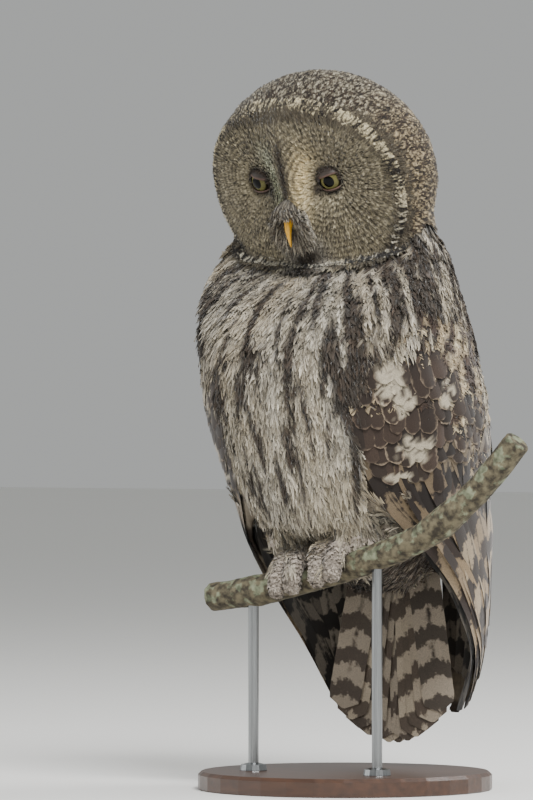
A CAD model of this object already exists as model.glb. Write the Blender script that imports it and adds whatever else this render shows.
# %% [markdown]
# A great grey owl as a museum would show it: one soft bird, thousands of feathers.
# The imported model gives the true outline, out to the feather tips.
# Everything below grows inwards or along that outline, so nothing has to be fitted later.

# %% Load the frame
import math
import bpy
import bmesh
import numpy as np
from mathutils import Matrix, Vector, noise
from mathutils.bvhtree import BVHTree


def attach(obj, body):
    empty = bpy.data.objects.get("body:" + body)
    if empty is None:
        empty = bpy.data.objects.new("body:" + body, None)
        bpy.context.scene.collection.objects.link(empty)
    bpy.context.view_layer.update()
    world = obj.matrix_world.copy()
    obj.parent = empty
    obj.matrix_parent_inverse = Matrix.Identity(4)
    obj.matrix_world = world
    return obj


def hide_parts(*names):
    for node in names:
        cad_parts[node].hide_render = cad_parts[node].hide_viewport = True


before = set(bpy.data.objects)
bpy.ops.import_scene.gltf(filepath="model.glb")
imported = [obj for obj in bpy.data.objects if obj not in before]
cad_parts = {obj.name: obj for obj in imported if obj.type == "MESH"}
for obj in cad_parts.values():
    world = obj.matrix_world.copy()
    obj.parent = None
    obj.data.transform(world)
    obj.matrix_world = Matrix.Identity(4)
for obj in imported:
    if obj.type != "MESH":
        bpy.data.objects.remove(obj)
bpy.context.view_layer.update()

MM = 0.001
rng = np.random.default_rng(41)

# %% [markdown]
# The photograph was taken with a long lens from the bird's front left, level with its breast.
# One millimetre of bird per 1.15 pixels gives the distance and the place of the picture's middle.

# %% Camera
MM_PER_PIXEL = 0.87
PICTURE_WIDTH, PICTURE_HEIGHT = 533, 800
AXIS_PIXEL_X = 345
GROUND_PIXEL_Y = 789
VIEW_AZIMUTH = math.radians(35)
CAMERA_DISTANCE = 5.5
SENSOR = 36.0


def new_object(name, data):
    """A new object in the scene; its place stays in its mesh."""
    made = bpy.data.objects.new(name, data)
    bpy.context.scene.collection.objects.link(made)
    return made


def place_camera():
    right = Vector((math.cos(VIEW_AZIMUTH), math.sin(VIEW_AZIMUTH), 0))
    back = Vector((math.sin(VIEW_AZIMUTH), -math.cos(VIEW_AZIMUTH), 0))
    aim = right * (PICTURE_WIDTH / 2 - AXIS_PIXEL_X) * MM_PER_PIXEL * MM
    aim.z = (GROUND_PIXEL_Y - PICTURE_HEIGHT / 2) * MM_PER_PIXEL * MM
    camera = new_object("camera", bpy.data.cameras.new("camera"))
    camera.data.sensor_width = SENSOR
    camera.data.lens = SENSOR * CAMERA_DISTANCE / (PICTURE_HEIGHT * MM_PER_PIXEL * MM)
    camera.data.clip_end = 50
    camera.location = aim + back * CAMERA_DISTANCE
    camera.rotation_euler = (aim - camera.location).to_track_quat("-Z", "Y").to_euler()
    bpy.context.scene.camera = camera
    return camera


camera = place_camera()
print("lens", round(camera.data.lens, 1))

# %% [markdown]
# Colours are written as the hex values a painter would pick from a screen.
# Blender works in linear light, so one function turns them.
# A material is a small graph of nodes. One function adds a node of any kind, with its settings and links,
# and the kinds that come up often are kept as named pairs of a kind and its settings.

# %% Colour and node helpers
BLEND = ("ShaderNodeMix", {"data_type": "RGBA"})
SHADE = ("ShaderNodeMix", {"data_type": "RGBA", "blend_type": "MULTIPLY"})
SMOOTH = ("ShaderNodeMapRange", {"interpolation_type": "SMOOTHSTEP"})
PLUS, MINUS, TIMES, LARGER, SIZE, SINE = (
    ("ShaderNodeMath", {"operation": word})
    for word in ("ADD", "SUBTRACT", "MULTIPLY", "MAXIMUM", "ABSOLUTE", "SINE"))


def linear(code):
    parts = np.array([int(code[i:i + 2], 16) for i in (1, 3, 5)]) / 255
    return np.where(parts <= 0.04045, parts / 12.92, ((parts + 0.055) / 1.055) ** 2.4)


def rgba(code):
    return (*linear(code), 1.0)


def give(tree, node, inputs):
    """Fill a node's inputs: a node's first open output or a socket is linked, anything else is set."""
    for name, value in inputs.items():
        if isinstance(value, bpy.types.Node):
            value = next(socket for socket in value.outputs if socket.enabled)
        if isinstance(value, bpy.types.NodeSocket):
            tree.links.new(value, node.inputs[name])
        else:
            node.inputs[name].default_value = value


def add(tree, kind, settings=None, inputs=None):
    node = tree.nodes.new(kind)
    for name, value in (settings or {}).items():
        setattr(node, name, value)
    give(tree, node, inputs or {})
    return node


def new_material(name, roughness, **sockets):
    """A material with its plain numbers set on the shader's own sockets."""
    material = bpy.data.materials.new(name)
    material.use_nodes = True
    shader = material.node_tree.nodes["Principled BSDF"]
    give(material.node_tree, shader, {"Roughness": roughness})
    give(material.node_tree, shader, {socket.replace("_", " "): value for socket, value in sockets.items()})
    return material, material.node_tree, shader


def mottled_material(name, roughness, codes, scale, detail=2.0, relief=0.0, stretch=(1, 1, 1), **sockets):
    """A surface whose colour wanders between two hex tones, with a relief of so many metres."""
    material, tree, shader = new_material(name, roughness, **sockets)
    place = add(tree, "ShaderNodeTexCoord").outputs["Object"]
    place = add(tree, "ShaderNodeMapping", inputs={"Vector": place, "Scale": stretch})
    grain = add(tree, "ShaderNodeTexNoise", inputs={"Vector": place, "Scale": scale, "Detail": detail})
    give(tree, shader, {"Base Color": add(tree, *BLEND, {0: grain, 6: rgba(codes[0]), 7: rgba(codes[1])})})
    if relief:
        bump = add(tree, "ShaderNodeBump", inputs={"Height": grain, "Distance": relief})
        give(tree, shader, {"Normal": bump})
    return material


print("a mid grey in linear light", linear("#808080").round(3)[0])


# %% [markdown]
# A museum corner: a pale floor that runs off behind the bird, and large soft lights.
# The photograph's light falls from the upper right through leaves, so the key light stands there.

# %% Floor and light
FLOOR_SIZE = 30
LIGHTS = {
    "key_light": ((1.7, -1.3, 2.5), 1.1, 130),
    "fill_light": ((-2.2, -1.8, 1.3), 2.4, 30),
    "rim_light": ((1.4, 2.0, 2.0), 1.4, 55),
}
LIGHTS_AIM = Vector((0, 0, 0.35))
STUDIO_AIR, AIR_STRENGTH = "#DADCDB", 0.6


def place_floor():
    half = FLOOR_SIZE / 2
    mesh = bpy.data.meshes.new("floor")
    corners = [(-half, -half, 0), (half, -half, 0), (half, half, 0), (-half, half, 0)]
    mesh.from_pydata(corners, [], [(0, 1, 2, 3)])
    mesh.materials.append(mottled_material("plaster floor", 0.8, ("#EFEEEA", "#F5F4F1"), 3.0 / FLOOR_SIZE))
    floor = new_object("floor", mesh)


def place_lights():
    world = bpy.context.scene.world or bpy.data.worlds.new("studio")
    bpy.context.scene.world = world
    world.use_nodes = True
    background = world.node_tree.nodes["Background"]
    give(world.node_tree, background, {"Color": rgba(STUDIO_AIR), "Strength": AIR_STRENGTH})
    for name, (place, size, power) in LIGHTS.items():
        light = new_object(name, bpy.data.lights.new(name, "AREA"))
        light.data.size = size
        light.data.energy = power
        light.location = place
        light.rotation_euler = (LIGHTS_AIM - light.location).to_track_quat("-Z", "Y").to_euler()


place_floor()
place_lights()
print("lights", len(LIGHTS))

# %% [markdown]
# The bird's form is one closed surface. The parted solids are joined and remeshed,
# which heals the thin cuts between them, and then relaxed a little.
# Feathers are laid on this form, and the skin is the same form drawn inwards.

# %% One form from the parts of flesh
FLESH = ["head", "neck", "trunk"] + [f"{part}_{side}" for part in ("wing", "leg", "foot")
                                     for side in ("left", "right")]
FORM_VOXEL = 3.0 * MM
FORM_RELAX = 4
NAPE_RELAX = 90
NAPE_LOW, NAPE_HIGH, NAPE_FRONT = 425 * MM, 525 * MM, -20 * MM


def plain_copy(name, nodes):
    joined = bmesh.new()
    for node in nodes:
        joined.from_mesh(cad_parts[node].data)
    bmesh.ops.remove_doubles(joined, verts=joined.verts, dist=1e-6)
    mesh = bpy.data.meshes.new(name)
    joined.to_mesh(mesh)
    joined.free()
    return new_object(name, mesh)


def settle(made):
    """The object's evaluated shape as its own plain mesh, with no modifiers left."""
    graph = bpy.context.evaluated_depsgraph_get()
    mesh = bpy.data.meshes.new_from_object(made.evaluated_get(graph))
    made.modifiers.clear()
    made.data = mesh
    return made


def make_form():
    form = plain_copy("form", FLESH)
    remesh = form.modifiers.new("heal", "REMESH")
    remesh.mode = "VOXEL"
    remesh.voxel_size = FORM_VOXEL
    relax = form.modifiers.new("relax", "SMOOTH")
    relax.iterations = FORM_RELAX
    settle(form)
    places = points_of(form.data)
    nape = form.vertex_groups.new(name="nape")
    chosen = (places[:, 2] > NAPE_LOW) & (places[:, 2] < NAPE_HIGH) & (places[:, 1] > NAPE_FRONT)
    nape.add(np.flatnonzero(chosen).tolist(), 1.0, "REPLACE")
    blend = form.modifiers.new("nape", "SMOOTH")
    blend.iterations = NAPE_RELAX
    blend.vertex_group = "nape"
    return settle(form)


def points_of(mesh, kind="vertices", value="co"):
    items = getattr(mesh, kind)
    out = np.empty(len(items) * 3)
    items.foreach_get(value, out)
    return out.reshape(-1, 3)


def surface_tree(mesh):
    return BVHTree.FromPolygons(points_of(mesh).tolist(), [list(face.vertices) for face in mesh.polygons])


form = make_form()
form_tree = surface_tree(form.data)
print("form faces", len(form.data.polygons))

# %% [markdown]
# The head has its own frame: turned down 22 degrees, with the face towards minus Y.
# The facial disc and the feathers round the eyes are described there.

# %% The head's own frame
HEAD_CENTRE = np.array([-8, -30, 527]) * MM
HEAD_PITCH = math.radians(22)
EYE_PLACE = np.array([35.5, -26, 13.5]) * MM
EYE_RADIUS = 11.5 * MM
DISC_MIDDLE = np.array([0, -40, 0]) * MM
DISC_HALF_WIDTH, DISC_HALF_HEIGHT = 95 * MM, 73 * MM
DISC_SQUARENESS = 2.5
FACE_BACK = -8 * MM
HEAD_TURN = np.array(Matrix.Rotation(HEAD_PITCH, 3, "X"))
BODY_AXIS_Y = 10 * MM
SIDES = {"left": 1, "right": -1}


def into_head(points):
    return (points - HEAD_CENTRE) @ HEAD_TURN


def out_of_head(points):
    return points @ HEAD_TURN.T + HEAD_CENTRE


def disc_reach(local):
    """How far out a head point lies across the facial disc: 1 is the rim."""
    across = np.abs(local[:, 0]) / DISC_HALF_WIDTH
    up = np.abs(local[:, 2]) / DISC_HALF_HEIGHT
    return (across ** DISC_SQUARENESS + up ** DISC_SQUARENESS) ** (1 / DISC_SQUARENESS)


def on_face(local):
    return (disc_reach(local) < 1.0) & (local[:, 1] < FACE_BACK)


def body_angle(points):
    """Turn round the body from the middle of the breast, plus to the bird's left."""
    return np.arctan2(points[:, 0], -(points[:, 1] - BODY_AXIS_Y))


print("head turned down", round(math.degrees(HEAD_PITCH)), "degrees, eyes", 2 * EYE_PLACE[0] / MM, "mm apart")


# %% [markdown]
# The skin is the form drawn in by the depth of the coat: a few millimetres on the face and toes,
# more on the breast, where the feathers stand off the body in life.

# %% Skin
COAT_DEPTH = {"face": 3.0, "head": 7.0, "body": 11.0, "wing": 2.6, "tip": 1.2, "foot": 3.0}
HEAD_LOW = 455 * MM
WING_HIGH, WING_TIP = 430 * MM, 120 * MM
WING_FRONT, WING_BACK = math.radians(36), math.radians(165)
FOOT_OUT, FOOT_HIGH = 60 * MM, 235 * MM
SKIN_RELAX = 3


def coat_depth(points):
    depth = np.full(len(points), COAT_DEPTH["body"])
    head = points[:, 2] > HEAD_LOW
    depth[head] = COAT_DEPTH["head"]
    depth[head & on_face(into_head(points))] = COAT_DEPTH["face"]
    turn = np.abs(body_angle(points))
    depth[(points[:, 2] < WING_HIGH) & (turn > WING_FRONT) & (turn < WING_BACK)] = COAT_DEPTH["wing"]
    depth[points[:, 2] < WING_TIP] = COAT_DEPTH["tip"]
    foot = (np.abs(points[:, 0]) < FOOT_OUT) & (points[:, 2] < FOOT_HIGH) & (points[:, 1] < 0.0)
    depth[foot] = COAT_DEPTH["foot"]
    return depth * MM


def skin_material():
    """Pale and dark down over the skin, mixed by the marking that is written to its points later."""
    material, tree, shader = new_material("owl down and skin", 0.9)
    place = add(tree, "ShaderNodeTexCoord").outputs["Object"]
    fluff = add(tree, "ShaderNodeTexNoise", inputs={"Vector": place, "Scale": 260.0, "Detail": 4.0})
    marking = add(tree, "ShaderNodeAttribute", {"attribute_name": "marking"}).outputs["Fac"]
    pale = add(tree, *BLEND, {0: fluff, 6: rgba("#5C5347"), 7: rgba("#8A8070")})
    dark = add(tree, *BLEND, {0: fluff, 6: rgba("#1D1611"), 7: rgba("#382C22")})
    bump = add(tree, "ShaderNodeBump", inputs={"Height": fluff, "Distance": 0.6 * MM})
    give(tree, shader, {"Base Color": add(tree, *BLEND, {0: marking, 6: pale, 7: dark}), "Normal": bump})
    return material


def make_skin():
    mesh = form.data.copy()
    mesh.name = "skin"
    places = points_of(mesh)
    normals = points_of(mesh, "vertices", "normal")
    places -= normals * coat_depth(places)[:, None]
    mesh.vertices.foreach_set("co", places.ravel())
    skin = new_object("skin", mesh)
    relax = skin.modifiers.new("relax", "SMOOTH")
    relax.iterations = SKIN_RELAX
    settle(skin).data.shade_smooth()
    skin.data.materials.append(skin_material())
    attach(skin, "root")
    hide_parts(*FLESH)
    return skin


skin = make_skin()
print("skin faces", len(skin.data.polygons))

# %% [markdown]
# A feather is a shaft with barbs. Each one here is a strip of quads along a bent spine:
# a quad runs from the shaft to a narrow tip, so the vane has the loose, split edge of a real one.
# The spine is walked over the form, step by step, so the feather lies along the body.

# %% Walking over the form


def snap(point):
    place, normal, _, _ = form_tree.find_nearest(point)
    return place, normal


def walk(roots, lie, lengths, steps=4):
    """Spines over the form: places and normals at each step from the root."""
    count = len(roots)
    places = np.empty((count, steps + 1, 3))
    normals = np.empty((count, steps + 1, 3))
    for i in range(count):
        place, normal = snap(Vector(roots[i]))
        heading = Vector(lie[i])
        stride = lengths[i] / steps
        for k in range(steps + 1):
            places[i, k] = place
            normals[i, k] = normal
            heading = heading - normal * heading.dot(normal)
            heading.normalize()
            place, normal = snap(place + heading * stride)
    normals[:, 1:-1] = (normals[:, :-2] + normals[:, 1:-1] + normals[:, 2:]) / 3
    return places, normals


def along_spine(values, at):
    """Values between the spine's points, at each fraction of its length."""
    last = values.shape[1] - 1
    scaled = np.clip(at * last, 0, last - 1e-6)
    low = scaled.astype(int)
    part = (scaled - low)[None, :, None]
    return values[:, low] * (1 - part) + values[:, low + 1] * part


BREAST = Vector((0, -1, 0.35))
print("the form's nearest point to a place before the breast:", [round(x, 3) for x in snap(BREAST)[0]])

# %% [markdown]
# Plumage is patterned by rule but never even. Two kinds of soft random values break the rules up:
# one over a plane, such as turn and height, and one through space. Both give the same values each run.

# %% Soft random values
NOISE_CELLS = 64
NOISE_SHIFT = 320.0


def bell(value, middle, half_width):
    """1 at the middle, falling off smoothly on both sides."""
    return np.exp(-((value - middle) / half_width) ** 2)


def smooth_noise(across, up, seed=0):
    """Soft random values from 0 to 1 over a plane, one new value for each unit cell."""
    table = np.random.default_rng(seed).random((NOISE_CELLS, NOISE_CELLS))
    across, up = np.asarray(across) + NOISE_SHIFT, np.asarray(up) + NOISE_SHIFT
    left, low = np.floor(across).astype(int), np.floor(up).astype(int)
    part_x, part_y = across - left, up - low
    part_x, part_y = part_x * part_x * (3 - 2 * part_x), part_y * part_y * (3 - 2 * part_y)
    left, low = left % NOISE_CELLS, low % NOISE_CELLS
    right, high = (left + 1) % NOISE_CELLS, (low + 1) % NOISE_CELLS
    bottom = table[left, low] * (1 - part_x) + table[right, low] * part_x
    top = table[left, high] * (1 - part_x) + table[right, high] * part_x
    return bottom * (1 - part_y) + top * part_y


def solid_noise(points, size):
    """Soft random values through space, about one new value for each cell of this size."""
    return np.array([noise.noise(Vector(point)) for point in points / size]) * 0.5 + 0.5


def soft_step(value, low, high):
    share = np.clip((value - low) / (high - low), 0, 1)
    return share * share * (3 - 2 * share)


print("soft values in one row", smooth_noise(np.arange(0, 2, 0.5), np.zeros(4)).round(2))

# %% [markdown]
# Two templates serve for every feather. A comb has a shaft and one quad for each barb, so it looks loose.
# A blade is a closed strip with a rounded end, like a flight feather. Both are given as shares:
# along the shaft from 0 to 1, and across from -1 to 1.

# %% Templates of a feather
BLADE_ROWS = 30
BLADE_COLUMNS = np.array([-1, -0.5, 0, 0.5, 1.0])
VANE_END = 1.45


def comb_template(barbs, slant, tip_width):
    """A vane of barbs: fractions along and across for each corner, and quads of corners."""
    cuts = np.linspace(0.04, 1.0, barbs + 1)
    spread = tip_width / barbs / 2
    along, across, quads = list(cuts), [0.0] * len(cuts), []
    for side in (-1, 1):
        for k in range(barbs):
            middle = (cuts[k] + cuts[k + 1]) / 2
            start = len(along)
            tip = middle + slant * (1 - 0.6 * middle)
            along += [tip - spread, tip + spread]
            across += [side, side]
            quad = [k, k + 1, start + 1, start]
            quads.append(quad if side > 0 else quad[::-1])
    return np.array(along), np.array(across), np.array(quads)


def vane_width(along, shoulder=0.55, tip=0.8):
    """A loose feather's half width at each share of its length, as a share of its widest."""
    rise = np.clip(along / shoulder, 0, 1) ** 0.5
    fall = np.clip((VANE_END - along) / (VANE_END - shoulder), 0, 1) ** tip
    return rise * fall


def blade_template(rows):
    columns = len(BLADE_COLUMNS)
    along = np.repeat(np.linspace(0, 1, rows), columns)
    across = np.tile(BLADE_COLUMNS, rows)
    corners = [row * columns + column for row in range(rows - 1) for column in range(columns - 1)]
    return along, across, np.array([[a, a + 1, a + columns + 1, a + columns] for a in corners])


def blade_width(along, rounding):
    """A stiff feather keeps its width to a rounded end, which takes up the last share of its length."""
    end = ((along - 1 + rounding) / rounding).clip(0, 1)
    return np.clip(along * 8 + 0.3, 0, 1) * np.sqrt(np.clip(1.01 - end ** 2, 0, 1))


BLADE = blade_template(BLADE_ROWS)
print("a blade has", len(BLADE[2]), "quads")

# %% [markdown]
# A coat gathers the feathers of one piece. Every corner is placed from the spine, sideways by the vane's
# width and up by its lift, and carries its colours, its place on the vane and its marks to the material.
# Small random strays keep the vanes from looking stamped. Each tuft's patch on the map lies at its root.

# %% A coat of feathers
STRAY = 0.25
LOOSE_EDGE = 0.35 * MM
LIFT_END, LIFT_CURVE = 1.1, 1.2
TUFT_PATCH = 0.003
TINY = 1e-9
VALUES = ("pale", "dark", "vane", "marks")


class Coat:
    """Feathers of one piece: their corners, quads and the values that the material reads."""

    def __init__(self, name):
        self.name = name
        self.corners, self.quads, self.total = [], [], 0
        self.values = {key: [] for key in VALUES}
        self.map = []

    def lay(self, places, normals, width, template, looks, unwrap, lift=(0, 1), camber=0.15, ragged=0.1,
            bend=0.0, paint=None, rounding=None, tint=None):
        """One feather on each spine. A rounding makes it stiff; the others are loose along their edges."""
        along, across, quads = template
        count, corners = len(places), len(along)
        stiff = rounding is not None
        off_shaft, on_spine = np.abs(across)[None], np.clip(along, 0, 1)
        stray = rng.normal(0, 1, (count, corners)) * off_shaft * (0.0 if stiff else ragged * STRAY)
        heading = places[:, -1:] - places[:, :1]
        length = np.linalg.norm(heading, axis=2)
        overshoot = np.clip(along - 1, 0, 1)[None] + stray
        spine = along_spine(places, on_spine) + heading * overshoot[..., None]
        up = along_spine(normals, on_spine)
        sideways = np.cross(heading / (length[..., None] + TINY), up)
        sideways /= np.linalg.norm(sideways, axis=2, keepdims=True) + TINY
        profile = blade_width(along, rounding) if stiff else vane_width(along)
        jitter = 1 + rng.normal(0, ragged, (count, corners))
        reach = across[None] * profile[None] * jitter * width[:, None]
        loose = 0.0 if stiff else LOOSE_EDGE
        height = (lift[0] + (lift[1] - lift[0]) * np.minimum(along[None], LIFT_END) ** LIFT_CURVE) * MM
        height = height + rng.normal(0, 0.6 * loose, (count, 1)) - camber * np.abs(reach)
        height = height + rng.normal(0, 1, (count, corners)) * off_shaft * loose
        reach = reach + rng.normal(0, 1, (count, 1)) * bend * length * along[None] ** 2
        self.corners.append((spine + sideways * reach[..., None] + up * height[..., None]).reshape(-1, 3))
        first = (np.arange(count) * corners)[:, None, None] + self.total
        self.quads.append((quads[None] + first).reshape(-1, 4))
        self.total += count * corners
        self.carry(along, across, count, looks, paint, tint)
        patch = np.stack([across * TUFT_PATCH / 2, (along - 0.5) * TUFT_PATCH], axis=1)
        self.map.append((unwrap[:, None] + patch[None]).reshape(-1, 2))

    def carry(self, along, across, count, looks, paint, tint):
        """Write the newest corners' colours, place on the vane and marks, then paint over them."""
        corners = len(along)
        chance = rng.random(count)
        vane = [np.broadcast_to(value, (count, corners)) for value in (across, along, chance[:, None])]
        self.values["vane"].append(np.stack(vane, axis=2).reshape(-1, 3))
        pale, dark, mark = (np.repeat(looks[key], corners, axis=0) for key in ("pale", "dark", "marks"))
        if paint is not None:
            weight = paint(self.corners[-1])[:, None]
            pale = pale * (1 - weight) + dark * weight
        if tint is not None:
            over, code = tint
            weight = over(self.corners[-1])[:, None]
            pale, dark = (tone * (1 - weight) + linear(code) * weight for tone in (pale, dark))
        for key, value in (("pale", pale), ("dark", dark), ("marks", mark)):
            self.values[key].append(value)

    def finish(self, material):
        mesh = bpy.data.meshes.new(self.name)
        corners, quads = np.concatenate(self.corners), np.concatenate(self.quads)
        mesh.vertices.add(len(corners))
        mesh.vertices.foreach_set("co", corners.astype(np.float32).ravel())
        mesh.loops.add(quads.size)
        mesh.loops.foreach_set("vertex_index", quads.astype(np.int32).ravel())
        mesh.polygons.add(len(quads))
        mesh.polygons.foreach_set("loop_start", np.arange(0, quads.size, 4, dtype=np.int32))
        mesh.update(calc_edges=True)
        for key, values in self.values.items():
            layer = mesh.attributes.new(key, "FLOAT_VECTOR", "POINT")
            layer.data.foreach_set("vector", np.concatenate(values).astype(np.float32).ravel())
        bake = mesh.uv_layers.new(name="OFBake")
        bake.data.foreach_set("uv", np.concatenate(self.map)[quads.ravel()].astype(np.float32).ravel())
        mesh.shade_smooth()
        mesh.materials.append(material)
        made = new_object(self.name, mesh)
        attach(made, "root")
        print(self.name, "triangles", 2 * len(quads))
        return made


print("a tuft's patch on the map is", TUFT_PATCH, "across")


# %% [markdown]
# A feather's keratin is pale where it has no pigment and brown where it has.
# The material mixes those two along each vane: a dark shaft streak, cross bars, or both,
# and breaks them up with noise as fine as the barbs.

# %% Feather material


def feather_material(name, roughness=0.72, barb_scale=1400.0):
    """Keratin barbs are matt, with the faint sheen of many fine edges and a grain of 0.7 mm."""
    material, tree, shader = new_material(name, roughness, Specular_IOR_Level=0.25, Sheen_Weight=0.25,
                                          Sheen_Roughness=0.5)
    read = {key: add(tree, "ShaderNodeAttribute", {"attribute_name": key}) for key in VALUES}
    parts = {key: add(tree, "ShaderNodeSeparateXYZ", inputs={0: read[key].outputs["Vector"]})
             for key in VALUES[2:]}
    side, along, chance = parts["vane"].outputs
    streaks, bars, strength = parts["marks"].outputs
    place = add(tree, "ShaderNodeTexCoord").outputs["Object"]
    flecks = add(tree, "ShaderNodeTexNoise", inputs={"Vector": place, "Scale": barb_scale, "Detail": 2.0})
    broad = add(tree, "ShaderNodeTexNoise", inputs={"Vector": place, "Scale": barb_scale / 7, "Detail": 2.0})
    wander = add(tree, *TIMES, {0: add(tree, *MINUS, {0: broad, 1: 0.5}), 1: 0.7})
    side = add(tree, *SIZE, {0: side})

    # The shaft streak: dark where the distance from the shaft, or from the tip, is under its reach.
    tip = add(tree, *SMOOTH, {"Value": along, "From Min": 0.78, "From Max": 1.02})
    across = add(tree, *PLUS, {0: add(tree, *LARGER, {0: side, 1: tip}), 1: wander})
    streak = add(tree, *SMOOTH, {"Value": add(tree, *MINUS, {0: across, 1: streaks}), "From Min": -0.18,
                                 "From Max": 0.18, "To Min": 1.0, "To Max": 0.0})

    # The bars: a wave along the shaft that bends back towards the edges and starts anywhere.
    waved = add(tree, *PLUS, {0: along, 1: add(tree, *TIMES, {0: wander, 1: 0.1})})
    wave = add(tree, *TIMES, {0: waved, 1: bars})
    wave = add(tree, *MINUS, {0: wave, 1: add(tree, *TIMES, {0: side, 1: 0.22})})
    wave = add(tree, *PLUS, {0: wave, 1: add(tree, *TIMES, {0: chance, 1: 0.55})})
    wave = add(tree, *SINE, {0: add(tree, *TIMES, {0: wave, 1: 2 * math.pi})})
    barred = add(tree, *SMOOTH, {"Value": wave, "From Min": -0.25, "From Max": 0.35})
    barred = add(tree, *TIMES, {0: barred, 1: strength})
    mark = add(tree, "ShaderNodeMath", {"operation": "MAXIMUM", "use_clamp": True}, {0: streak, 1: barred})
    colour = add(tree, *BLEND, {0: mark, 6: read["pale"].outputs["Color"], 7: read["dark"].outputs["Color"]})

    # Barbs catch light and shade, and a feather is darkest at its root, under the one above it.
    barbs = add(tree, *SMOOTH, {"Value": flecks, "From Min": 0.3, "From Max": 0.7,
                                "To Min": 0.72, "To Max": 1.16})
    root = add(tree, *SMOOTH, {"Value": along, "From Min": 0.0, "From Max": 0.8,
                               "To Min": 0.38, "To Max": 1.06})
    shade = add(tree, *TIMES, {0: barbs, 1: root})
    grey = add(tree, "ShaderNodeCombineXYZ", inputs={0: shade, 1: shade, 2: shade})
    bump = add(tree, "ShaderNodeBump", inputs={"Height": flecks, "Distance": 0.2 * MM, "Strength": 0.5})
    give(tree, shader, {"Base Color": add(tree, *SHADE, {0: 1.0, 6: colour, 7: grey}), "Normal": bump})
    return material


PLUME = feather_material("contour feather keratin")
print("material", PLUME.name)

# %% [markdown]
# Roots are scattered evenly over each part: many random points, thinned to one for each small cell.
# The unwrap gives every root its place on the skin: round the body, and up it.

# %% Roots and their unwrap
THROWS_PER_CELL = 7
HIDDEN_DEPTH = 2.2 * MM
UNWRAP_TALL = 0.64
UNWRAP_SHARE = 0.98


def scatter(node, spacing):
    """Evenly spread root places on the outside of one of the bird's parts."""
    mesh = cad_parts[node].data
    mesh.calc_loop_triangles()
    corners = np.array([tri.vertices for tri in mesh.loop_triangles])
    points = points_of(mesh)[corners]
    edge = np.cross(points[:, 1] - points[:, 0], points[:, 2] - points[:, 0])
    area = np.linalg.norm(edge, axis=1) / 2
    count = int(THROWS_PER_CELL * area.sum() / spacing ** 2)
    pick = rng.choice(len(area), count, p=area / area.sum())
    first, second = np.sqrt(rng.random((count, 1))), rng.random((count, 1))
    tri = points[pick]
    spots = tri[:, 0] * (1 - first) + tri[:, 1] * first * (1 - second) + tri[:, 2] * first * second
    cells = np.floor(spots / spacing).astype(int)
    _, chosen = np.unique(cells, axis=0, return_index=True)
    spots = spots[np.sort(chosen)]
    return spots[[(snap(Vector(spot))[0] - Vector(spot)).length < HIDDEN_DEPTH for spot in spots]]


def body_unwrap(points):
    across = body_angle(points) / (2 * math.pi) * UNWRAP_SHARE + 0.5
    return np.stack([across, points[:, 2] / UNWRAP_TALL * UNWRAP_SHARE + 0.01], axis=1)


def head_unwrap(points):
    local = into_head(points)
    turn = np.arctan2(local[:, 0], -local[:, 1])
    rise = np.arctan2(local[:, 2], np.hypot(local[:, 0], local[:, 1]))
    return np.stack([turn / (2 * math.pi), rise / math.pi], axis=1) * UNWRAP_SHARE + 0.5


def tones(codes, count, spread=0.12):
    """One colour for each feather, picked between hex tones and varied in brightness."""
    table = np.array([linear(code) for code in codes])
    pick = rng.random((count, 1)) * (len(codes) - 1)
    low = np.minimum(pick.astype(int), len(codes) - 2)[:, 0] if len(codes) > 1 else np.zeros(count, int)
    part = pick - low[:, None]
    colour = table[low] * (1 - part) + table[np.minimum(low + 1, len(codes) - 1)] * part
    return colour * np.exp(rng.normal(0, spread, (count, 1)))


def marks(count, streak, bars, strength):
    columns = [np.broadcast_to(value, count) for value in (streak, bars, strength)]
    return np.stack(columns, axis=1).astype(float)


def down_lie(points, flare=0.25):
    """Feathers hang down the body and part a little from the middle of the breast."""
    angle = body_angle(points)
    return np.stack([np.sin(angle) * flare, np.zeros(len(points)), -np.ones(len(points))], axis=1)


print("the bill's root on the map", head_unwrap(out_of_head(np.array([[0, -50, -20]]) * MM)).round(2)[0])


# %% [markdown]
# The breast and belly wear long, loose feathers: pale grey buff, with brown streaks down the shafts.
# Neighbouring feathers' streaks run into each other, so the pattern is laid over all of them at once:
# bold and close on the upper breast and flanks, thin towards the legs.

# %% Breast, belly and back
BREAST_COMB = comb_template(23, 0.48, 0.26)
BELLY_COMB = comb_template(19, 0.55, 0.26)
STREAK_WIDTH = 8.0 * MM
STREAK_LENGTH = 40.0 * MM
BODY_RADIUS = 115 * MM
STREAK_HEIGHTS = [0.15, 0.22, 0.26, 0.31, 0.36, 0.42, 0.46, 0.50]
STREAK_COVER = [0.05, 0.10, 0.30, 0.50, 0.62, 0.62, 0.45, 0.55]
BACK_COVER = 0.72
STREAK_EDGE = 0.06
LEAN_HEIGHT, STREAK_LEAN = 0.30, 12
BIB_HALF_TURN, BIB_LOW, BIB_HIGH = 0.22, 440 * MM, 456 * MM
BODY_SPACING = 5.2 * MM
BODY_COATS = [
    ("neck_feathers", "neck", 0.40, 0.60, 30, 6.0, BREAST_COMB),
    ("breast_feathers", "trunk", 0.31, 0.45, 42, 6.5, BREAST_COMB),
    ("belly_feathers", "trunk", 0.15, 0.31, 46, 6.0, BELLY_COMB),
]


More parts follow.
